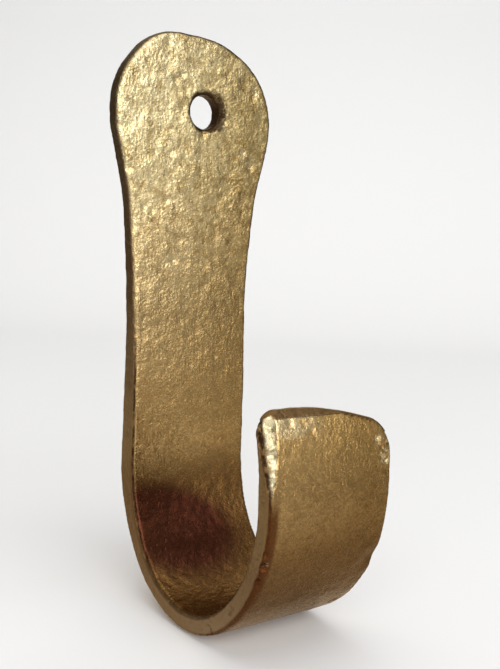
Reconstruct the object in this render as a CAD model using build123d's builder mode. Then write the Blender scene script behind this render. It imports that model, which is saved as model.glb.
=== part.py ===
from build123d import *
import os
from math import copysign, radians, sqrt, tan

# A coat hook forged from one length of flat bar. All sizes are in millimetres.
# The origin is where the axis of the screw hole meets the wall. X runs to the right, Y into the
# wall and Z up, so the flat back of the shank lies on the plane Y = 0 and the hook reaches to -Y.

# Bar, 25 x 5 flat stock that forging has spread a little
bar_width = 26.1
bar_thickness = 5.0

# Head, spread and thinned under the hammer
head_width = 35.3
head_shift = -0.5  # middle of the head from the middle of the bar
head_thickness = 3.6
crown_height = 13.9  # top of the head above the hole
crown_shift = -2.0  # middle of the crown's flat from the middle of the bar

# Outline of the neck and head. Straight runs go up each side, and each corner between them is
# rounded. A share is how far out from the bar's edge, or from the crown's middle, a corner lies.
# Forging left the two sides a little different.
thin_length = 25.0  # how far below the hole the bar stays as thin as the head
neck_drop_left = 36.6  # where the neck starts to leave the bar, below the hole
neck_drop_right = 29.7
neck_radius = 196.0
waist_drop = 15.7
waist_share_left = 0.37
waist_share_right = 0.31
waist_radius = 55.0
cheek_drop = 4.1  # where the neck meets the side of the head, below the hole
cheek_radius = 15.1
shoulder_rise_left = 4.5  # where the side turns into the shoulder, above the hole
shoulder_rise_right = 7.2
shoulder_radius = 14.5
crown_share_left = 0.51
crown_share_right = 0.34
crown_radius_left = 11.3
crown_radius_right = 20.5
run_share = 0.97  # most that two rounded corners may take of the straight run between them

# Screw hole
bore_diameter = 6.0
mouth_round = 1.1  # radius of the hole's rounded front mouth
hole_shift = 1.3  # hole to the right of the middle of the bar

# Bend, seen from the side
shank_length = 65.0  # hole down to the start of the bend
bend_drop = 26.4  # height of the bend
bend_radius = 20.0  # outside radius along the bottom of the bend, which is tighter than its sides
hook_reach = 46.3  # front of the lip from the wall
bend_thickness = 3.8  # bar at the bottom of the bend and at the foot of the lip

# Lip, drawn thin and a little wider towards its tip
lip_height = 15.6  # tip above the start of the bend
lip_lean = 3.8  # how far the lip's front face leans back, where the blank ends above the tip
tip_thickness = 2.6
tip_width = 27.4
flare_height = 22.5  # length over which the lip widens
tip_radius = 60.0  # curve of the tip, which falls away to the right
tip_peak_shift = -7.5  # highest point of the tip from the middle of the bar
left_corner = 4.0
right_corner = 6.0

# Edges worn round by forging
edge_round = 0.92

# Heights that follow
bend_z = -shank_length
bottom_z = bend_z - bend_drop
tip_z = bend_z + lip_height
flare_z = tip_z - flare_height
lowest_reach = hook_reach / 2

# Half widths, and the waste that the blank has beyond the finished outline
half_bar = bar_width / 2
head_left = head_shift - head_width / 2
head_right = head_shift + head_width / 2
half_tip = tip_width / 2
trim = 3.0
half_blank = max(half_bar, -head_left, head_right, half_tip) + trim

# The front view is drawn about the middle of the bar, on the plane of the wall. The side view is
# drawn on a plane just beyond the blank's left edge.
front_view = Plane(origin=(-hole_shift, 0, 0), x_dir=(1, 0, 0), z_dir=(0, -1, 0))
side_view = Plane.YZ.offset(-hole_shift - half_blank)


def bend_line(first_foot, last_foot, radius):
    """Bend between two upright faces: a wider arc down each side and one arc along the bottom."""
    centre = Vector(-lowest_reach, bottom_z + bend_radius)
    joins = []
    for foot in (Vector(*first_foot), Vector(*last_foot)):
        across = abs(centre.X - foot.X)
        down = foot.Y - centre.Y
        side_radius = (across**2 + down**2 - radius**2) / (2 * (across - radius))
        inward = copysign(side_radius, centre.X - foot.X)
        side_centre = foot + Vector(inward, 0)
        joins.append(centre + (centre - side_centre).normalized() * radius)
    TangentArc(first_foot, joins[0], tangent=(0, -1))
    ThreePointArc(joins[0], centre - Vector(0, radius), joins[1])
    TangentArc(last_foot, joins[1], tangent=(0, -1))


def side_corners(head_x, bar_x, neck_drop, waist_share, shoulder_rise, crown_share, crown_radius):
    """Corners up one side of the neck and head, each with the radius that rounds it."""
    waist_x = bar_x + waist_share * (head_x - bar_x)
    crown_x = crown_shift + crown_share * (head_x - crown_shift)
    return (
        ((bar_x, -neck_drop), neck_radius),
        ((waist_x, -waist_drop), waist_radius),
        ((head_x, -cheek_drop), cheek_radius),
        ((head_x, shoulder_rise), shoulder_radius),
        ((crown_x, crown_height), crown_radius),
    )


def corner_radii(corners):
    """Radius at each corner, eased where the run beside it is too short for both of its corners."""
    points = [Vector(*point) for point, radius in corners]
    turns = [0]
    for before, corner, after in zip(points, points[1:], points[2:]):
        turns.append(radians((corner - before).get_angle(after - corner)))
    turns.append(0)
    taken = [radius * tan(turn / 2) for turn, (point, radius) in zip(turns, corners)]
    ease = [1]
    for start, end, first, last in zip(points, points[1:], taken, taken[1:]):
        ease.append(min(1, run_share * (end - start).length / (first + last)))
    ease.append(1)
    return [radius * min(pair) for pair, (point, radius) in zip(zip(ease, ease[1:]), corners)]


def tip_height_at(x):
    """Height of the tip's curved top at x from the middle of the bar."""
    return tip_z - tip_radius + sqrt(tip_radius**2 - (x - tip_peak_shift) ** 2)


# Blank: the strip's outline seen from the front, with the shank and its head behind and the lip
# before them. The two meet where the bend is lowest, and both are as wide as the bar there.
with BuildPart() as blank:
    with BuildSketch(front_view) as head_outline:
        left_side = side_corners(
            head_left,
            -half_bar,
            neck_drop_left,
            waist_share_left,
            shoulder_rise_left,
            crown_share_left,
            crown_radius_left,
        )
        right_side = side_corners(
            head_right,
            half_bar,
            neck_drop_right,
            waist_share_right,
            shoulder_rise_right,
            crown_share_right,
            crown_radius_right,
        )
        bar_left = ((-half_bar, bottom_z - trim), 0)
        bar_right = ((half_bar, bottom_z - trim), 0)
        corners = [bar_left, *left_side, *reversed(right_side), bar_right]
        with BuildLine():
            Polyline(*(point for point, radius in corners), close=True)
        make_face()
        for (point, wanted), radius in list(zip(corners, corner_radii(corners)))[1:-1]:
            fillet(head_outline.vertices().sort_by_distance(point)[0], radius=radius)
    extrude(amount=lowest_reach)
    with BuildSketch(front_view.offset(lowest_reach)) as lip_outline:
        with BuildLine():
            tip_left = (-half_tip, tip_height_at(-half_tip))
            tip_right = (half_tip, tip_height_at(half_tip))
            Polyline(
                (-half_bar, flare_z),
                (-half_bar, bottom_z - trim),
                (half_bar, bottom_z - trim),
                (half_bar, flare_z),
            )
            TangentArc((half_bar, flare_z), tip_right, tangent=(0, 1))
            ThreePointArc(tip_right, (tip_peak_shift, tip_z), tip_left)
            TangentArc((-half_bar, flare_z), tip_left, tangent=(0, 1))
        make_face()
        for corner, radius in ((tip_left, left_corner), (tip_right, right_corner)):
            fillet(lip_outline.vertices().sort_by_distance(corner)[0], radius=radius)
    extrude(amount=hook_reach - lowest_reach + trim)

# Hook: the bar's side view carried across its width and cut to the blank's outline
with BuildPart() as hook:
    with BuildSketch(side_view):
        with BuildLine():
            back_top = (0, crown_height + trim)
            back_foot = (0, bend_z)
            lip_foot_front = (-hook_reach, bend_z)
            tip_front = (-hook_reach + lip_lean, tip_z + trim)
            tip_back = (-hook_reach + lip_lean + tip_thickness, tip_z + trim)
            lip_foot_back = (-hook_reach + bend_thickness, bend_z)
            shank_foot = (-bar_thickness, bend_z)
            head_foot = (-head_thickness, -thin_length)
            head_top = (-head_thickness, crown_height + trim)
            # flat back against the wall, and the outside of the bend
            Line(back_top, back_foot)
            bend_line(back_foot, lip_foot_front, bend_radius)
            # lip, leaning back and thinning towards its tip
            TangentArc(lip_foot_front, tip_front, tangent=(0, 1))
            Line(tip_front, tip_back)
            TangentArc(lip_foot_back, tip_back, tangent=(0, 1))
            # inside of the bend
            bend_line(lip_foot_back, shank_foot, bend_radius - bend_thickness)
            # front of the shank, thinning upwards to the head
            taper_middle_z = (bend_z - thin_length) / 2
            taper_middle = (-(bar_thickness + head_thickness) / 2, taper_middle_z)
            TangentArc(shank_foot, taper_middle, tangent=(0, 1))
            TangentArc(head_foot, taper_middle, tangent=(0, -1))
            Polyline(head_foot, head_top, back_top)
        make_face()
    extrude(amount=2 * half_blank)
    add(blank.part, mode=Mode.INTERSECT)

    # The rim's edges are worn round, along the outer broad faces and then along the inner ones,
    # which look into the throat between the shank and the lip
    rim = hook.faces().filter_by(lambda face: abs(face.normal_at().Y) < 0.001)
    broad = hook.faces() - rim
    throat = Vector(-hole_shift, -lowest_reach, bend_z)
    inner = broad.filter_by(lambda face: (throat - face.center()).dot(face.normal_at()) > 0)
    outer = broad - inner
    worn_radius = min(edge_round, 0.4 * tip_thickness)
    outer_edges = rim.edges() & outer.edges()
    inner_edges = rim.edges() & inner.edges()
    fillet(outer_edges, radius=worn_radius)
    fillet(inner_edges, radius=worn_radius)

    # Screw hole, square through the head, with its front mouth rounded over
    with Locations(Plane.XZ.offset(head_thickness)):
        Hole(radius=bore_diameter / 2, depth=head_thickness)
    mouth_centre = (0, -head_thickness, 0)
    mouth = hook.edges().filter_by(GeomType.CIRCLE).sort_by_distance(mouth_centre)[0]
    fillet(mouth, radius=mouth_round)

hook.part.label = "hook"
os.makedirs("parts", exist_ok=True)
export_step(hook.part, "parts/hook.step")
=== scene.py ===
import math

import bpy
from mathutils import Matrix, Vector
from mathutils.kdtree import KDTree

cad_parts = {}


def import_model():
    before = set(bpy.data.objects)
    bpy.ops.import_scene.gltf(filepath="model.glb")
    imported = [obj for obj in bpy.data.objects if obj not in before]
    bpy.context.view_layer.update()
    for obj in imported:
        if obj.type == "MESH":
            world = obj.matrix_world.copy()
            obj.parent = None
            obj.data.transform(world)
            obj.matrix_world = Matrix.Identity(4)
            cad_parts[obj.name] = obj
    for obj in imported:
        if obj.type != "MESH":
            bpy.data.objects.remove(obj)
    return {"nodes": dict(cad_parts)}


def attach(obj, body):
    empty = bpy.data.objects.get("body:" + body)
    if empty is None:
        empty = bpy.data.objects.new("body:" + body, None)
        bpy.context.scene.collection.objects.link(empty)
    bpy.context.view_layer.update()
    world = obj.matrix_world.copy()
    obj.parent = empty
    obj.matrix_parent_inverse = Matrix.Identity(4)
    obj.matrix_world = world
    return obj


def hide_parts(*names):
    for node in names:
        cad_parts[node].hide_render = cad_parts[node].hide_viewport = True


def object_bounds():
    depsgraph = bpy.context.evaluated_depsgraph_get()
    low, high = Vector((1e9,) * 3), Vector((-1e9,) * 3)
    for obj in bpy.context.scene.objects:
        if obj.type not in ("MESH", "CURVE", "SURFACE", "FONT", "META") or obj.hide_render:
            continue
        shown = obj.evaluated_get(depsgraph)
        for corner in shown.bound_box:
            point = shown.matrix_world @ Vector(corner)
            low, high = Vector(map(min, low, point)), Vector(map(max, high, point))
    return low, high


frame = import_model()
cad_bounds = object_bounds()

# A coat hook forged from flat bar and painted antique gold, on a plain pale floor. The solid hook
# of the frame is copied, given an even net of small faces, hammered, chipped and painted. Places
# and lengths are written in millimetres and turned into metres by MM, unless metres are named.
MM = 0.001

# Net of the forged skin, and the steps in which it keeps how worn a corner of it is
WELD = 0.002
NET_SIZE = 0.347
WEAR_STEPS = 16

# Flat struck on the lip's left front edge: a place on it, and the way it faces
LIP_FLAT_PLACE = (-13.84, -43.29, -52.5)
LIP_FLAT_FACING = (-0.692, -0.692, 0.204)

# Flats struck along the lip's top front edge: places on them, and the ways they face
LIP_TOP_FLATS = (
    ((-6, -43.93, -50.6), (0, -0.66, 0.75)),
    ((-0.5, -44.28, -50.8), (0.08, -0.66, 0.75)),
    ((5, -44.64, -51.72), (0.16, -0.66, 0.74)),
)

# Depth beyond which the bar belongs to the lip's half
LIP_HALF = -30

# Where the neck ends and over how much height, how deep the head is, where the lip's corners start
NECK_FOOT = -46
NECK_BLEND = 4
HEAD_DEPTH = 6
LIP_CORNERS = -55

# Middle of the bend, seen from the side: its depth and height
BEND_MIDDLE = (-23.15, -67)

# Painted dark reflection of the lip's shaded back, inside the bend: its middle across and in
# height, its half sizes, how far it leans to the right on its way down, and how its rim fades, as a
# share of its size
REFLECTION_PATCH = (-7.4, -78.1)
REFLECTION_PATCH_HALVES = (14.2, 8.0)
REFLECTION_PATCH_LEAN = 0.6
REFLECTION_PATCH_RIM = (0.7, 1.22)
REFLECTION_PATCH_DEPTHS = (-27, -20)

# Painted highlights at dents, scratches and edges: place and reach
HIGHLIGHT_MARKS = (
    ((8.9, -45.3, -55.6), 1.4),
    ((10.2, -45.8, -58.3), 1.8),
    ((11.2, -45.3, -56.6), 1.2),
    ((11.3, -3.6, 5.1), 1.5),
    ((8.9, -3.6, -7.0), 1.3),
    ((10.6, -3.6, -9.0), 1.1),
    ((-12.0, -3.6, -18.9), 1.3),
    ((-6.6, -3.6, -28.4), 1.2),
    ((3.3, -3.4, -2.4), 1.3),
    ((-13.6, -45.6, -73.2), 0.9),
)
HIGHLIGHT_MARK_RIM = (0.4, 1.0)

# Dents, nicks, chips and burrs of the forging: place, how the skin moves there, and its reach
BLOWS = (
    # notch and burr on the bend's left front edge
    ((-13.9, -45.3, -73.6), (0.5, 0.4, 0.0), 1.1),
    ((-13.9, -45.6, -71.4), (0.25, 0.2, 0.0), 0.9),
    ((-13.9, -43.9, -76.3), (0.4, 0.3, 0.1), 1.1),
    # chips along the bottom of the bend
    ((-14.3, -31.7, -88.4), (0.6, 0.0, 0.45), 1.3),
    ((-14.3, -37.7, -82.7), (0.4, 0.3, 0.3), 1.1),
    ((9.1, -36.8, -86.3), (-0.2, 0.3, 0.5), 1.6),
    ((10.2, -44.1, -76.2), (-0.15, 0.25, 0.15), 3.0),
    # pits above the hole and nicks of its mouth
    ((-7.1, -3.6, 5.2), (0, 0.22, 0), 1.0),
    ((-5.8, -3.6, 6.0), (0, 0.25, 0), 0.9),
    ((2.2, -3.4, 2.9), (0.25, 0.35, 0.2), 1.2),
    ((3.6, -3.4, -1.2), (0.35, 0.35, 0), 1.3),
    ((-0.6, -3.4, -3.9), (0, 0.3, -0.3), 1.2),
    # dents of the head's right side and crown
    ((11.3, -3.6, 5.3), (0, 0.25, 0), 1.4),
    ((10.9, -3.6, 4.1), (0, 0.18, 0), 0.9),
    ((-8.9, -3.6, 11.7), (0, 0.3, -0.15), 1.2),
    ((-16.6, -3.6, -12.1), (0.15, 0.3, 0), 1.1),
    # scratches and dents of the neck
    ((8.9, -3.6, -6.6), (0, 0.2, 0), 1.0),
    ((10.8, -3.6, -9.5), (0, 0.22, 0), 1.2),
    ((-12.6, -3.6, -18.6), (0, 0.25, 0), 1.0),
    ((-11.3, -3.6, -19.2), (0, 0.28, 0), 1.0),
    ((-6.0, -3.6, -28.2), (0, 0.16, 0), 1.3),
    ((-8.0, -3.6, -28.7), (0, 0.12, 0), 1.0),
    ((7.5, -3.7, -33.9), (0, 0.2, 0), 0.9),
    # nicks and burrs of the lip's left edge and corners
    ((-14.0, -45.4, -56.0), (0.3, 0.3, 0), 0.9),
    ((-14.0, -46.0, -60.2), (0.35, 0.3, 0), 0.9),
    ((-13.6, -44.3, -51.6), (0.3, 0.25, -0.2), 1.0),
    ((-9.7, -44.3, -51.6), (0, 0.2, -0.25), 1.0),
    ((-5.5, -44.7, -52.8), (0, 0.15, 0), 1.1),
    ((8.5, -45.3, -55.5), (0, 0.4, 0), 0.8),
    ((9.6, -45.5, -56.8), (0, 0.35, 0), 0.8),
    ((10.1, -45.9, -58.9), (-0.1, 0.4, 0), 0.9),
    ((10.9, -45.4, -56.4), (-0.15, 0.45, 0), 0.9),
    ((10.6, -45.7, -60.6), (-0.1, 0.3, 0), 0.9),
    # scratches of the shank
    ((3.9, -4.4, -46.7), (0, 0.14, 0), 0.8),
    ((4.1, -4.4, -44.9), (0, 0.12, 0), 0.8),
    ((-3.0, -4.6, -51.5), (0, 0.12, 0), 0.9),
)

# Cloudy patterns sunk into the whole skin: size, depth and fineness
SKIN_PATTERNS = {
    "broad_blows": (8, 0.22, 2),
    "scale": (2.2, 0.13, 2),
    "peel": (1.0, 0.07, 1),
}
# The same where the edges are worn
EDGE_WEAR = (1.6, 0.38, 3)

# What each part of the skin is, from the way that it faces and from its place. Each pair says
# where a share starts and where it is full. Pairs named BELOW, OUT and LEFT are lengths down from
# the hole, out from the wall and to the left of the hole.
SIDE_FACING = (0.55, 0.9)
EDGE_START_FACING = (0.14, 0.48)
EDGE_END_FACING = (0.86, 0.99)
LIP_TOP_FACING = (0.34, 0.6)
# edges that carry painted shade, with some wear: low on the bar and on its right, a trace
# elsewhere, and less on the bottom
DARK_EDGES_BELOW = (30, 55)
DARK_EDGES_RIGHT = (0, 7)
DARK_EDGE_TRACE = 0.12
BOTTOM_BELOW = (80, 85)
BOTTOM_FADING = 0.75
# inside of the bend, where painted shade lies
INWARD_FACING = (0.3, 0.8)
BEND_BELOW = (60, 72)
# painted highlight on the flat on the lip's left edge and on the strip of the lip's top edge that
# shines with it
ON_FLAT_FACING = (0.86, 0.97)
ON_FLAT_HEIGHT = (-0.25, -0.05)
ON_FLAT_RIGHT = (-14.1, -13.6)
TOP_EDGE_OUT = (42, 43.5)
TOP_EDGE_HEIGHT = (-54.5, -52.5)
TOP_EDGE_LEFT = (1, 9)
TOP_EDGE_FACING = (0.75, 0.9)
TOP_EDGE_SHINE = 0.55
# reddish seam along the left of the bend's outside
SEAM_FACING = (0.3, 0.6)
SEAM_LEFT = (12.0, 12.8)
SEAM_BELOW = (61, 66)
SEAM_OUT = (24, 32)

# Colours of the paint down the bar, with painted shade that darkens it lower down and most in the
# bend, and a painted highlight that pales the head: height and colour
BAR_FOOT = -95
BAR_CROWN = 15
GOLD_DOWN_THE_SHANK = (
    (-75, (0.50, 0.33, 0.13)),
    (-55, (0.465, 0.31, 0.128)),
    (-38, (0.51, 0.37, 0.175)),
    (-25, (0.76, 0.595, 0.315)),
    (-5, (0.83, 0.71, 0.41)),
    (12, (0.81, 0.70, 0.42)),
)
GOLD_DOWN_THE_LIP = (
    (-92, (0.44, 0.33, 0.24)),
    (-82, (0.110, 0.054, 0.022)),
    (-73, (0.145, 0.077, 0.025)),
    (-62, (0.35, 0.221, 0.085)),
    (-50, (0.64, 0.43, 0.17)),
)
# painted shade of the bar's narrow sides, down the bar
SIDE_SHADE_DOWN_THE_BAR = (
    (-92, (0.225, 0.14, 0.068)),
    (-76, (0.145, 0.079, 0.033)),
    (-62, (0.205, 0.12, 0.047)),
    (-46, (0.185, 0.11, 0.05)),
    (-30, (0.085, 0.042, 0.018)),
    (-5, (0.05, 0.023, 0.011)),
    (12, (0.05, 0.027, 0.014)),
)

# Tones that those colours are multiplied by: painted shade across the bar, darker to the right, and
# painted shade on the sides of the bend
LEFT_LIT_TONE = (1.0, 1.0, 1.0)
RIGHT_SHADE_TONE = (0.59, 0.53, 0.42)
GOLD_LIFT = 1.31
LIP_SIDE_SHADE = (1.15, 1.22, 1.3)
WALL_SIDE_SHADE = (0.84, 0.76, 0.7)
DEEP_GOLD = (0.55, 0.46, 0.33)

# Colours laid over them: browns, painted shade, a painted dark reflection and a painted highlight
CREVICE_BROWN = (0.05, 0.026, 0.012)
# painted shade, with some wear, on the rounded edges
EDGE_SHADE_AND_WEAR_BROWN = (0.034, 0.014, 0.005)
SEAM_RED_BROWN = (0.085, 0.026, 0.006)
# painted shade inside the bend
BEND_SHADE_OLIVE = (0.155, 0.073, 0.021)
# painted dark reflection inside the bend
REFLECTION_MAROON = (0.068, 0.0155, 0.009)
REFLECTION_LEFT = (0.092, 0.027, 0.014)
# painted highlight of the lip's flat, its top edge and the marks
HIGHLIGHT_GOLD = (0.85, 0.73, 0.45)

# How much of each is laid over
PIT_TINT = 0.2
NICK_TINT = 0.45
BEND_SHADE_TINT = 0.9
REFLECTION_TINT = 0.93
SIDE_SHADE_TINT = 0.94
SEAM_TINT = 0.9

# Where those colours change: two places across the bar, in depth or in height. A second pair is
# the share at those places, and without one it runs from 0 to 1.
LIP_DEPTHS = ((-32, -18), (1, 0))
ACROSS_BAR = (-18, 12)
ACROSS_TONE_HEIGHTS = ((-60, -10), (0.8, 1))
MOTTLED_HEIGHTS = ((-52, -12), (0.3, 1))
REFLECTION_ACROSS = (-15, -4)
BEND_SIDE_DEPTHS = (-40, -8)
BEND_SIDE_HEIGHTS = ((-70, -62), (1, 0))

# Brown of the hole, which spreads unevenly over its mouth and further on the right: its rim, how
# far the coarse grain moves the rim, and how far the right side does
HOLE_RIM = ((3.45, 4.15), (0.92, 0))
HOLE_GRAIN = ((0.3, 0.7), (0.35 * MM, -0.6 * MM))
HOLE_RIGHT = ((0, 3), (0, -0.45 * MM))

# Patterns of the paint: size, detail and roughness, then how they are drawn out and turned
GRAIN = (0.45, 2, 0.5)
COARSE_GRAIN = (1.9, 4, 0.6)
PATCHES = (7, 3, 0.5)
LAYERS = (3.0, 5, 0.62)
PITS = (1.1, 2, 0.5)
STREAKS = (0.8, 3, 0.6, (1, 1, 0.22))
NICKS = (0.9, 3, 0.55, (1, 1, 0.38), 35)

# Two levels of a pattern, between which a mark or tone grows or fades. A second pair is the number
# at those levels, and without one it runs from 0 to 1.
FLAKE_EDGES = ((0.49, 0.51), (0.585, 0.6))
NICK_EDGE = (0.64, 0.67)
PIT_EDGE = (0.62, 0.72)
PATCH_TONE = ((0.35, 0.7), (0, 0.3))
GRAIN_TONE = ((0.32, 0.6), (0.45, 0))
COARSE_TONE = ((0.34, 0.56), (0.7, 0))
EDGE_TONE = ((0.35, 0.55), (0.6, 1))
MARK_TONE = ((0.42, 0.58), (0, 0.6))
FLAT_TONE = ((0.34, 0.52), (0.2, 1))
UNREST = ((0.35, 0.65), (0.45, 1.25))
GRAIN_ROUGHNESS = ((0.3, 0.7), (0.08, -0.04))

# Relief of the paint: how deep it is, what each pattern adds to it, and where it weakens
RELIEF_DEPTH = 0.26
GRAIN_RELIEF = 0.5
COARSE_RELIEF = 0.85
FLAKE_RELIEF = 0.24
NICK_RELIEF = -0.4
PIT_RELIEF = -0.3
STREAK_HEIGHTS = ((-40, -20), (0.5, 0))
STREAK_DEPTHS = (-14, -8)
RELIEF_DOWN_THE_BAR = ((-85, -20), (0.4, 1))
REFLECTION_RELIEF = ((0, 1), (1, 0.4))
WRINKLE_HEIGHTS = ((-86, -80), (0.8, 0))

# Gloss of the paint: how metallic it is, its tint at a grazing angle, and how rough it is, with
# what the bar's narrow sides add
PAINT_METAL = 0.9
GRAZING_TINT = (0.9, 0.76, 0.58)
PAINT_ROUGHNESS = 0.27
SIDE_ROUGHNESS = 0.12

# Camera at the photograph's place: position, turns in degrees, lens on a 36 mm sensor, and the
# nearest that it sees, in metres
CAMERA_PLACE = (-95.8, -145.8, -25.4)
CAMERA_YAW = 37.39
CAMERA_PITCH = -5.52
CAMERA_ROLL = 2.92
CAMERA_LENS = 47.64
CAMERA_NEAR = 0.005

# Paper sweep in metres: its width, height, curve and faces along the curve, how far behind the
# hook it stands, and how far below the hook its floor lies
PAPER_WIDTH = 3.0
PAPER_HEIGHT = 1.5
PAPER_CURVE = 0.3
PAPER_CURVE_FACES = 24
PAPER_BEHIND = 0.75
PAPER_BELOW = 0.0001

# Painted pool of light on the paper: how fast it widens away from the front, between which widths
# in metres it fades, and the colours inside and outside it
POOL_WIDENING = 0.28
POOL_EDGE = (0.065, 0.24)
PAPER_WHITE = (0.94, 0.94, 0.94)
PAPER_GREY = (0.36, 0.36, 0.36)

# Lamps: bearing and height angle in degrees, distance and size in metres, and glow. They aim at
# one height of the hook.
WINDOW = (-17, 26, 1.25, (2.38, 1.0), 2.4)
CEILING = (0, 88, 1.5, (1.6, 1.6), 1.25)
LAMP_AIM = -40
ROOM_GLOW = 0.28
ROOM_TONE = (1.0, 0.98, 0.95)


def select_only(piece):
    """Deselects everything, then selects one piece and makes it the active one."""
    bpy.ops.object.select_all(action="DESELECT")
    piece.select_set(True)
    bpy.context.view_layer.objects.active = piece


def select_none(mode):
    """Lets edits of the active piece work on its corners or edges, with none of them selected."""
    bpy.ops.object.mode_set(mode="EDIT")
    bpy.ops.mesh.select_mode(type=mode)
    bpy.ops.mesh.select_all(action="DESELECT")
    bpy.ops.object.mode_set(mode="OBJECT")


def apply_all(piece):
    """Applies every modifier of a piece in order."""
    select_only(piece)
    for modifier in list(piece.modifiers):
        bpy.ops.object.modifier_apply(modifier=modifier.name)


# Shape


def copy_of_solid(node_name, name):
    """Copy of a solid of the frame with its corners joined."""
    source = frame["nodes"][node_name]
    copy = bpy.data.objects.new(name, source.data.copy())
    bpy.context.scene.collection.objects.link(copy)
    copy.data.materials.clear()
    select_only(copy)
    bpy.ops.object.mode_set(mode="EDIT")
    bpy.ops.mesh.select_all(action="SELECT")
    bpy.ops.mesh.remove_doubles(threshold=WELD * MM)
    bpy.ops.object.mode_set(mode="OBJECT")
    return copy


def pare(piece, place, facing):
    """Cuts off what of the lip lies beyond a flat struck on its edge, and closes the cut."""
    select_only(piece)
    select_none("VERT")
    for corner in piece.data.vertices:
        corner.select = corner.co.y < LIP_HALF * MM
    bpy.ops.object.mode_set(mode="EDIT")
    bpy.ops.mesh.bisect(
        plane_co=Vector(place) * MM, plane_no=facing, clear_outer=True, use_fill=True
    )
    bpy.ops.object.mode_set(mode="OBJECT")


def even_net(piece):
    """Gives a piece an even net of small four-sided faces."""
    remesh = piece.modifiers.new("even_net", "REMESH")
    remesh.mode = "VOXEL"
    remesh.voxel_size = NET_SIZE * MM
    remesh.use_smooth_shade = True
    apply_all(piece)


def settle_onto(piece, target):
    """Draws every corner of the net onto the nearest place of the target."""
    wrap = piece.modifiers.new("onto_target", "SHRINKWRAP")
    wrap.target = target
    wrap.wrap_method = "NEAREST_SURFACEPOINT"
    apply_all(piece)


def ease(value, low, high):
    """Share from 0 at low to 1 at high, easing in and out."""
    share = min(1, max(0, (value - low) / (high - low)))
    return share * share * (3 - 2 * share)


def across_bar(corner):
    """How far a corner of the net faces away from the bar's broad faces, from 0 to 1."""
    y, z = (corner.co / MM).yz
    in_head = ease(z, NECK_FOOT - NECK_BLEND, NECK_FOOT + NECK_BLEND) if y > -HEAD_DEPTH else 0
    facing = corner.normal
    rim = math.sqrt(max(0, 1 - facing.y * facing.y))
    across = abs(facing.x) + in_head * (rim - abs(facing.x))
    if y < -HEAD_DEPTH and z > LIP_CORNERS:
        across = max(across, ease(facing.z, *LIP_TOP_FACING))
    return across


def bend_facing(corner):
    """How far a corner of the net faces into the throat between the shank and the lip."""
    y, z = (corner.co / MM).yz
    outward = Vector((0, y - BEND_MIDDLE[0], z - BEND_MIDDLE[1])).normalized()
    return -outward.dot(corner.normal)


def on_reflection_patch(corner):
    """Share of the painted dark reflection inside the bend."""
    x, y, z = corner.co / MM
    below = REFLECTION_PATCH[1] - z
    aside = x - REFLECTION_PATCH[0] - REFLECTION_PATCH_LEAN * below
    off_patch = math.hypot(aside / REFLECTION_PATCH_HALVES[0], below / REFLECTION_PATCH_HALVES[1])
    in_patch = 1 - ease(off_patch, *REFLECTION_PATCH_RIM)
    return ease(bend_facing(corner), *INWARD_FACING) * in_patch * ease(y, *REFLECTION_PATCH_DEPTHS)


def on_flat_highlight(corner):
    """Share of the painted highlight on the flat on the lip's left edge, and on the top edge that
    shines with it.
    """
    x, y, z = corner.co / MM
    flat_facing = Vector(LIP_FLAT_FACING).normalized()
    above = (corner.co / MM - Vector(LIP_FLAT_PLACE)).dot(flat_facing)
    on_flat = ease(corner.normal.dot(flat_facing), *ON_FLAT_FACING) * ease(above, *ON_FLAT_HEIGHT)
    on_flat *= ease(x, *ON_FLAT_RIGHT)
    on_top_edge = ease(-y, *TOP_EDGE_OUT) * ease(z, *TOP_EDGE_HEIGHT)
    on_top_edge *= ease(-x, *TOP_EDGE_LEFT) * ease(-corner.normal.y, *TOP_EDGE_FACING)
    return max(on_flat, TOP_EDGE_SHINE * on_top_edge)


def on_highlight_mark(corner):
    """Share of the nearest painted highlight at a dent, a scratch and an edge."""
    away = min((corner.co / MM - Vector(place)).length / reach for place, reach in HIGHLIGHT_MARKS)
    return 1 - ease(away, *HIGHLIGHT_MARK_RIM)


def on_seam(corner):
    """Share of the reddish seam along the left of the bend's outside."""
    x, y, z = corner.co / MM
    outer = ease(-bend_facing(corner), *SEAM_FACING)
    return outer * ease(-x, *SEAM_LEFT) * ease(-z, *SEAM_BELOW) * ease(-y, *SEAM_OUT)


def worn_share(corner):
    """Share of the rounded edges, where paint and iron are worn."""
    across = across_bar(corner)
    return ease(across, *EDGE_START_FACING) * (1 - ease(across, *EDGE_END_FACING))


def edge_shade_and_wear_share(corner):
    """Share of the worn edges that carry painted shade."""
    x, z = (corner.co / MM).xz
    low_or_right = max(ease(-z, *DARK_EDGES_BELOW), ease(x, *DARK_EDGES_RIGHT))
    fading = 1 - BOTTOM_FADING * ease(-z, *BOTTOM_BELOW)
    return worn_share(corner) * max(DARK_EDGE_TRACE, low_or_right) * fading


def side_share(corner):
    """Share of the bar's narrow sides."""
    return ease(across_bar(corner), *SIDE_FACING)


def bend_share(corner):
    """Share of the inside of the bend."""
    z = corner.co.z / MM
    return ease(bend_facing(corner), *INWARD_FACING) * ease(-z, *BEND_BELOW)


# several of these shares say where shade, a dark reflection and highlights are painted
SHARES_FOR_PAINT = {
    "sides": side_share,
    "edge_shade_and_wear": edge_shade_and_wear_share,
    "inside": bend_share,
    "dark_reflection": on_reflection_patch,
    "flat_highlight": on_flat_highlight,
    "seam": on_seam,
    "mark_highlights": on_highlight_mark,
}


def keep_shares(piece):
    """Keeps what each corner of the net is on the mesh, where the paint reads it."""
    for name, share in SHARES_FOR_PAINT.items():
        values = [share(corner) for corner in piece.data.vertices]
        kept = piece.data.attributes.new(name, "FLOAT", "POINT")
        kept.data.foreach_set("value", values)


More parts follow.
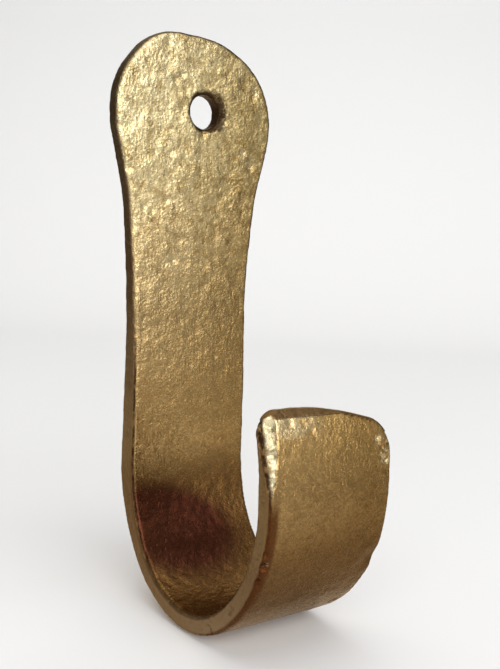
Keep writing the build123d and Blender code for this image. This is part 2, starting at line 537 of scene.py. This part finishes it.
def group_of(piece, name, share):
    """Keeps a share for each corner of the net under a name that modifiers can use."""
    group = piece.vertex_groups.new(name=name)
    steps = [[] for step in range(WEAR_STEPS + 1)]
    for corner in piece.data.vertices:
        steps[round(share(corner) * WEAR_STEPS)].append(corner.index)
    for step, members in enumerate(steps):
        if step and members:
            group.add(members, step / WEAR_STEPS, "REPLACE")


def hammer(piece, name, size, depth, fineness, where=""):
    """Sinks a cloudy pattern of hammer marks or scale into the skin."""
    texture = bpy.data.textures.new(name, "CLOUDS")
    texture.noise_scale = size * MM
    texture.noise_depth = fineness
    marks = piece.modifiers.new(name, "DISPLACE")
    marks.texture = texture
    marks.texture_coords = "LOCAL"
    marks.strength = depth * MM
    marks.mid_level = 1.0
    marks.vertex_group = where
    apply_all(piece)


def nearest_corners(piece, places):
    """Number of the net's corner that lies nearest to each place."""
    tree = KDTree(len(piece.data.vertices))
    for corner in piece.data.vertices:
        tree.insert(corner.co, corner.index)
    tree.balance()
    return [tree.find(Vector(place) * MM)[1] for place in places]


def strike(piece, index, move, reach):
    """Moves one corner of the net, and the skin within reach of it, as one blow would."""
    select_only(piece)
    select_none("VERT")
    piece.data.vertices[index].select = True
    bpy.ops.object.mode_set(mode="EDIT")
    bpy.ops.transform.translate(
        value=Vector(move) * MM,
        use_proportional_edit=True,
        proportional_edit_falloff="SMOOTH",
        proportional_size=reach * MM,
    )
    bpy.ops.object.mode_set(mode="OBJECT")


def forged_hook():
    """The hook with flats struck on its lip and a hammered, dented and chipped skin."""
    hook = copy_of_solid("hook", "forged_hook")
    pare(hook, LIP_FLAT_PLACE, LIP_FLAT_FACING)
    for place, facing in LIP_TOP_FLATS:
        pare(hook, place, facing)
    target = hook.copy()
    target.data = hook.data.copy()
    bpy.context.scene.collection.objects.link(target)
    even_net(hook)
    settle_onto(hook, target)
    bpy.data.objects.remove(target)

    keep_shares(hook)
    group_of(hook, "worn", worn_share)
    places, moves, reaches = zip(*BLOWS)
    for index, move, reach in zip(nearest_corners(hook, places), moves, reaches):
        strike(hook, index, move, reach)
    for name, pattern in SKIN_PATTERNS.items():
        hammer(hook, name, *pattern)
    hammer(hook, "edge_wear", *EDGE_WEAR, where="worn")
    return hook


# Finish


class Paint:
    """A material, with short words for the nodes that it is made of."""

    def __init__(self, name):
        self.material = bpy.data.materials.new(name)
        self.material.use_nodes = True
        self.tree = self.material.node_tree
        self.tree.nodes.clear()
        self.place = self.node("ShaderNodeTexCoord").outputs["Object"]
        self.right, self.depth, self.height = self.axes(self.place)

    def node(self, kind, **settings):
        made = self.tree.nodes.new(kind)
        for key, value in settings.items():
            setattr(made, key, value)
        return made

    def fill(self, socket, value):
        """Sets a socket to a number or colour, or links another node's output to it."""
        if hasattr(value, "links"):
            self.tree.links.new(value, socket)
        elif socket.type == "RGBA":
            socket.default_value = (*value, 1)
        else:
            socket.default_value = value

    def axes(self, place):
        """The three numbers of a place: to the right, in depth and in height."""
        parts = self.node("ShaderNodeSeparateXYZ")
        self.fill(parts.inputs["Vector"], place)
        return parts.outputs["X"], parts.outputs["Y"], parts.outputs["Z"]

    def turned(self, stretch, turn):
        """The place, drawn out along the axes and turned by angles in degrees."""
        mapping = self.node("ShaderNodeMapping")
        self.fill(mapping.inputs["Vector"], self.place)
        self.fill(mapping.inputs["Scale"], stretch)
        self.fill(mapping.inputs["Rotation"], [math.radians(angle) for angle in turn])
        return mapping.outputs["Vector"]

    def noise(self, size, detail, rough, stretch=(1, 1, 1), turn=0):
        """Cloudy pattern with marks of about one size."""
        made = self.node("ShaderNodeTexNoise")
        self.fill(made.inputs["Vector"], self.turned(stretch, (0, turn, 0)))
        self.fill(made.inputs["Scale"], 1 / (size * MM))
        self.fill(made.inputs["Detail"], detail)
        self.fill(made.inputs["Roughness"], rough)
        return made.outputs["Fac"]

    def spread(self, value, band, ends=(0, 1)):
        """Number that eases from one end to the other while the value crosses a band."""
        made = self.node("ShaderNodeMapRange", interpolation_type="SMOOTHSTEP")
        self.fill(made.inputs["Value"], value)
        for name, number in zip(("From Min", "From Max", "To Min", "To Max"), (*band, *ends)):
            self.fill(made.inputs[name], number)
        return made.outputs["Result"]

    def along(self, axis, band, ends=(0, 1)):
        """Number that eases from one end to the other between two places on an axis."""
        return self.spread(axis, [place * MM for place in band], ends)

    def count(self, operation, *numbers):
        made = self.node("ShaderNodeMath", operation=operation)
        for socket, number in zip(made.inputs, numbers):
            self.fill(socket, number)
        return made.outputs["Value"]

    def times(self, first, second):
        return self.count("MULTIPLY", first, second)

    def plus(self, first, second):
        return self.count("ADD", first, second)

    def tinted(self, share, base, tint, way="MIX"):
        """Colour with a share of a tint laid over it, or multiplied by it."""
        made = self.node("ShaderNodeMix", data_type="RGBA", blend_type=way)
        for name, value in (("Factor", share), ("A", base), ("B", tint)):
            self.fill(made.inputs[name], value)
        return made.outputs["Result"]

    def kept(self, name):
        """Share that is kept on the mesh."""
        return self.node("ShaderNodeAttribute", attribute_name=name).outputs["Fac"]

    def down_the_bar(self, colours):
        """Colour that changes with the height."""
        level = self.node("ShaderNodeMapRange")
        self.fill(level.inputs["Value"], self.height)
        self.fill(level.inputs["From Min"], BAR_FOOT * MM)
        self.fill(level.inputs["From Max"], BAR_CROWN * MM)
        ramp = self.node("ShaderNodeValToRGB")
        stops = ramp.color_ramp.elements
        while len(stops) < len(colours):
            stops.new(0.5)
        for stop, (height, tone) in zip(stops, colours):
            stop.position = (height - BAR_FOOT) / (BAR_CROWN - BAR_FOOT)
            stop.color = (*tone, 1)
        self.fill(ramp.inputs["Fac"], level.outputs["Result"])
        return ramp.outputs["Color"]

    def finished(self, shader):
        """The material, with its surface."""
        out = self.node("ShaderNodeOutputMaterial")
        self.fill(out.inputs["Surface"], shader.outputs[0])
        return self.material


def paint_patterns(paint):
    """Patterns that the colour and the relief of the gold paint share."""
    layers = paint.noise(*LAYERS)
    lower_flakes, upper_flakes = (paint.spread(layers, edge) for edge in FLAKE_EDGES)
    return {
        "grain": paint.noise(*GRAIN),
        "coarse": paint.noise(*COARSE_GRAIN),
        "patches": paint.noise(*PATCHES),
        "flakes": paint.plus(lower_flakes, upper_flakes),
        "nicks": paint.spread(paint.noise(*NICKS), NICK_EDGE),
        "pits": paint.spread(paint.noise(*PITS), PIT_EDGE),
    }


def clean_gold(paint):
    """Gold without its marks: pale at the head as a painted highlight, deeper and browner lower
    down and on the right as painted shade.
    """
    in_lip = paint.along(paint.depth, *LIP_DEPTHS)
    # painted shade lower down and in the bend, and a painted highlight at the head
    shank_gold = paint.down_the_bar(GOLD_DOWN_THE_SHANK)
    colour = paint.tinted(in_lip, shank_gold, paint.down_the_bar(GOLD_DOWN_THE_LIP))
    # painted shade that darkens the bar towards its right
    across = paint.tinted(paint.along(paint.right, ACROSS_BAR), LEFT_LIT_TONE, RIGHT_SHADE_TONE)
    across_share = paint.along(paint.height, *ACROSS_TONE_HEIGHTS)
    colour = paint.tinted(across_share, colour, across, "MULTIPLY")
    lifted = paint.node("ShaderNodeVectorMath", operation="SCALE")
    paint.fill(lifted.inputs["Vector"], colour)
    paint.fill(lifted.inputs["Scale"], GOLD_LIFT)
    return lifted.outputs["Vector"]


def mottled_gold(paint, patterns, colour):
    """Gold that is deeper in its grain and patches, and brown in its pits and nicks."""
    grain, coarse = patterns["grain"], patterns["coarse"]
    mottled = paint.along(paint.height, *MOTTLED_HEIGHTS)
    in_patches = paint.times(paint.spread(patterns["patches"], *PATCH_TONE), mottled)
    in_grain = paint.spread(grain, *GRAIN_TONE)
    in_coarse = paint.times(paint.spread(coarse, *COARSE_TONE), mottled)
    for share in (in_patches, in_grain, in_coarse):
        colour = paint.tinted(share, colour, DEEP_GOLD, "MULTIPLY")
    colour = paint.tinted(paint.times(patterns["pits"], PIT_TINT), colour, CREVICE_BROWN)
    in_nicks = paint.times(patterns["nicks"], paint.times(mottled, NICK_TINT))
    return paint.tinted(in_nicks, colour, CREVICE_BROWN)


def shaded_side_gold(paint):
    """Painted shade of the bar's narrow sides: brown gold."""
    tone = paint.tinted(paint.along(paint.depth, BEND_SIDE_DEPTHS), LIP_SIDE_SHADE, WALL_SIDE_SHADE)
    in_bend = paint.along(paint.height, *BEND_SIDE_HEIGHTS)
    return paint.tinted(in_bend, paint.down_the_bar(SIDE_SHADE_DOWN_THE_BAR), tone, "MULTIPLY")


def in_hole(paint, coarse):
    """Share of the brown in the hole and around its mouth."""
    flat_place = paint.node("ShaderNodeCombineXYZ")
    paint.fill(flat_place.inputs["X"], paint.right)
    paint.fill(flat_place.inputs["Z"], paint.height)
    from_middle = paint.node("ShaderNodeVectorMath", operation="LENGTH")
    paint.fill(from_middle.inputs[0], flat_place.outputs["Vector"])
    ragged = paint.plus(from_middle.outputs["Value"], paint.spread(coarse, *HOLE_GRAIN))
    return paint.along(paint.plus(ragged, paint.along(paint.right, *HOLE_RIGHT)), *HOLE_RIM)


def gold_with_marks_and_painted_light(paint, patterns, colour):
    """Gold with what lies over it: painted shade in the bend, a painted dark reflection, painted
    shade on sides and edges, the seam, painted highlights and the hole.
    """
    grain, coarse = patterns["grain"], patterns["coarse"]
    # painted shade inside the bend
    colour = paint.tinted(paint.times(paint.kept("inside"), BEND_SHADE_TINT), colour, BEND_SHADE_OLIVE)
    # painted dark reflection of the lip's shaded back
    dark_reflection = paint.tinted(paint.along(paint.right, REFLECTION_ACROSS), REFLECTION_LEFT, REFLECTION_MAROON)
    colour = paint.tinted(paint.times(paint.kept("dark_reflection"), REFLECTION_TINT), colour, dark_reflection)
    # painted shade on the narrow sides
    colour = paint.tinted(paint.times(paint.kept("sides"), SIDE_SHADE_TINT), colour, shaded_side_gold(paint))
    # painted shade, with some wear, on the rounded edges
    on_edges = paint.times(paint.kept("edge_shade_and_wear"), paint.spread(coarse, *EDGE_TONE))
    colour = paint.tinted(on_edges, colour, EDGE_SHADE_AND_WEAR_BROWN)
    colour = paint.tinted(paint.times(paint.kept("seam"), SEAM_TINT), colour, SEAM_RED_BROWN)
    # painted highlights at dents, scratches and edges
    on_marks = paint.times(paint.kept("mark_highlights"), paint.spread(grain, *MARK_TONE))
    colour = paint.tinted(on_marks, colour, HIGHLIGHT_GOLD)
    # painted highlight on the lip's flat and top edge
    on_flat = paint.times(paint.kept("flat_highlight"), paint.spread(coarse, *FLAT_TONE))
    colour = paint.tinted(on_flat, colour, HIGHLIGHT_GOLD)
    return paint.tinted(in_hole(paint, coarse), colour, CREVICE_BROWN)


def paint_relief(paint, patterns):
    """Height of the paint's grain, flakes, nicks, streaks, pits and wrinkles."""
    grain = paint.times(patterns["grain"], GRAIN_RELIEF)
    coarse = paint.times(patterns["coarse"], COARSE_RELIEF)
    unrest = paint.spread(patterns["patches"], *UNREST)
    relief = paint.times(paint.plus(grain, coarse), unrest)
    relief = paint.plus(relief, paint.times(patterns["flakes"], FLAKE_RELIEF))
    relief = paint.plus(relief, paint.times(patterns["nicks"], NICK_RELIEF))
    on_shank = paint.along(paint.height, *STREAK_HEIGHTS)
    on_shank = paint.times(on_shank, paint.along(paint.depth, STREAK_DEPTHS))
    relief = paint.plus(relief, paint.times(paint.noise(*STREAKS), on_shank))
    strength = paint.along(paint.height, *RELIEF_DOWN_THE_BAR)
    strength = paint.times(strength, paint.spread(paint.kept("dark_reflection"), *REFLECTION_RELIEF))
    relief = paint.times(relief, strength)
    relief = paint.plus(relief, paint.times(patterns["pits"], PIT_RELIEF))
    in_bend = paint.times(patterns["coarse"], paint.kept("inside"))
    wrinkles = paint.times(in_bend, paint.along(paint.height, *WRINKLE_HEIGHTS))
    return paint.plus(relief, wrinkles)


def gold_paint():
    """Satin antique gold paint: grained and brown in its pits, with painted shade on its sides and
    in the bend, a painted dark reflection and painted highlights.
    """
    paint = Paint("gold_paint")
    patterns = paint_patterns(paint)
    colour = mottled_gold(paint, patterns, clean_gold(paint))
    bump = paint.node("ShaderNodeBump")
    paint.fill(bump.inputs["Strength"], 1)
    paint.fill(bump.inputs["Distance"], RELIEF_DEPTH * MM)
    paint.fill(bump.inputs["Height"], paint_relief(paint, patterns))
    in_grain = paint.spread(patterns["grain"], *GRAIN_ROUGHNESS)
    rough = paint.plus(in_grain, paint.times(paint.kept("sides"), SIDE_ROUGHNESS))

    skin = paint.node("ShaderNodeBsdfPrincipled")
    paint.fill(skin.inputs["Metallic"], PAINT_METAL)
    paint.fill(skin.inputs["Specular Tint"], GRAZING_TINT)
    paint.fill(skin.inputs["Roughness"], paint.plus(rough, PAINT_ROUGHNESS))
    paint.fill(skin.inputs["Base Color"], gold_with_marks_and_painted_light(paint, patterns, colour))
    paint.fill(skin.inputs["Normal"], bump.outputs["Normal"])
    return paint.finished(skin)


def pale_paper():
    """Matt paper of the floor and backdrop, with a painted pool of light: white under and behind
    the hook, greyer further out.
    """
    paint = Paint("pale_paper")
    right, ahead = paint.axes(paint.turned((1, 1, 1), (0, 0, CAMERA_YAW)))[:2]
    aside = paint.count("ABSOLUTE", right)
    out_of_pool = paint.count("MULTIPLY_ADD", ahead, -POOL_WIDENING, aside)
    matt = paint.node("ShaderNodeBsdfDiffuse")
    # painted pool of light, fading to grey outside it
    tone = paint.tinted(paint.spread(out_of_pool, POOL_EDGE), PAPER_WHITE, PAPER_GREY)
    paint.fill(matt.inputs["Color"], tone)
    return paint.finished(matt)


# Room, lamps and camera


def select_edges(piece, wanted):
    """Selects the edges of a piece whose two ends are both wanted, and opens it for editing."""
    select_none("EDGE")
    for edge in piece.data.edges:
        edge.select = all(wanted(piece.data.vertices[index].co) for index in edge.vertices)
    bpy.ops.object.mode_set(mode="EDIT")


def paper_sweep():
    """Pale paper that lies under the hook and curves up behind it, seen from the camera."""
    bpy.ops.object.select_all(action="DESELECT")
    bpy.ops.mesh.primitive_plane_add(size=PAPER_WIDTH, location=(0, 0, 0))
    paper = bpy.context.object
    paper.name = "floor"
    select_edges(paper, lambda end: end.y > 0)
    bpy.ops.mesh.extrude_region_move(TRANSFORM_OT_translate={"value": (0, 0, PAPER_HEIGHT)})
    bpy.ops.object.mode_set(mode="OBJECT")
    select_edges(paper, lambda end: end.y > 0 and end.z < PAPER_HEIGHT / 2)
    bpy.ops.mesh.bevel(offset=PAPER_CURVE, segments=PAPER_CURVE_FACES, affect="EDGES")
    bpy.ops.mesh.select_all(action="SELECT")
    bpy.ops.mesh.faces_shade_smooth()
    bpy.ops.object.mode_set(mode="OBJECT")

    yaw = math.radians(CAMERA_YAW)
    place = Vector((math.sin(yaw), math.cos(yaw), 0)) * (PAPER_BEHIND - PAPER_WIDTH / 2)
    place.z = cad_bounds[0][2] - PAPER_BELOW
    paper.data.transform(Matrix.Translation(place) @ Matrix.Rotation(-yaw, 4, "Z"))
    paper.data.materials.append(pale_paper())


def soft_lamp(name, way, angle_up, distance, size, glow):
    """Large soft lamp that faces the hook: its bearing, height angle, distance, size and glow."""
    bearing, up = math.radians(way), math.radians(angle_up)
    towards = Vector(
        (math.sin(bearing) * math.cos(up), -math.cos(bearing) * math.cos(up), math.sin(up))
    )
    data = bpy.data.lights.new(name, "AREA")
    data.shape = "RECTANGLE"
    data.size, data.size_y = size
    data.energy = glow * math.pi * size[0] * size[1]
    made = bpy.data.objects.new(name, data)
    bpy.context.scene.collection.objects.link(made)
    made.location = towards * distance + Vector((0, 0, LAMP_AIM * MM))
    made.rotation_euler = towards.to_track_quat("Z", "Y").to_euler()


def camera():
    """Camera at the photograph's place."""
    yaw, pitch, roll = (math.radians(a) for a in (CAMERA_YAW, CAMERA_PITCH, CAMERA_ROLL))
    ahead = Vector(
        (math.sin(yaw) * math.cos(pitch), math.cos(yaw) * math.cos(pitch), math.sin(pitch))
    )
    level = Vector((math.cos(yaw), -math.sin(yaw), 0))
    upright = level.cross(ahead)
    right = math.cos(roll) * level + math.sin(roll) * upright
    top = -math.sin(roll) * level + math.cos(roll) * upright
    data = bpy.data.cameras.new("camera")
    data.lens = CAMERA_LENS
    data.clip_start = CAMERA_NEAR
    made = bpy.data.objects.new("camera", data)
    bpy.context.scene.collection.objects.link(made)
    turn = Matrix((right, top, -ahead)).transposed()
    made.matrix_world = Matrix.Translation(Vector(CAMERA_PLACE) * MM) @ turn.to_4x4()
    bpy.context.scene.camera = made


def world():
    """Faint even light of the room."""
    room = bpy.data.worlds.new("room")
    bpy.context.scene.world = room
    room.use_nodes = True
    tree = room.node_tree
    tree.nodes.clear()
    light = tree.nodes.new("ShaderNodeBackground")
    light.inputs["Color"].default_value = (*ROOM_TONE, 1)
    light.inputs["Strength"].default_value = ROOM_GLOW
    out = tree.nodes.new("ShaderNodeOutputWorld")
    tree.links.new(light.outputs[0], out.inputs["Surface"])


hook = forged_hook()
hook.data.materials.append(gold_paint())
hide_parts("hook")
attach(hook, "root")

paper_sweep()
soft_lamp("window", *WINDOW)
soft_lamp("ceiling", *CEILING)
camera()
world()
bpy.context.scene.view_settings.view_transform = "Standard"
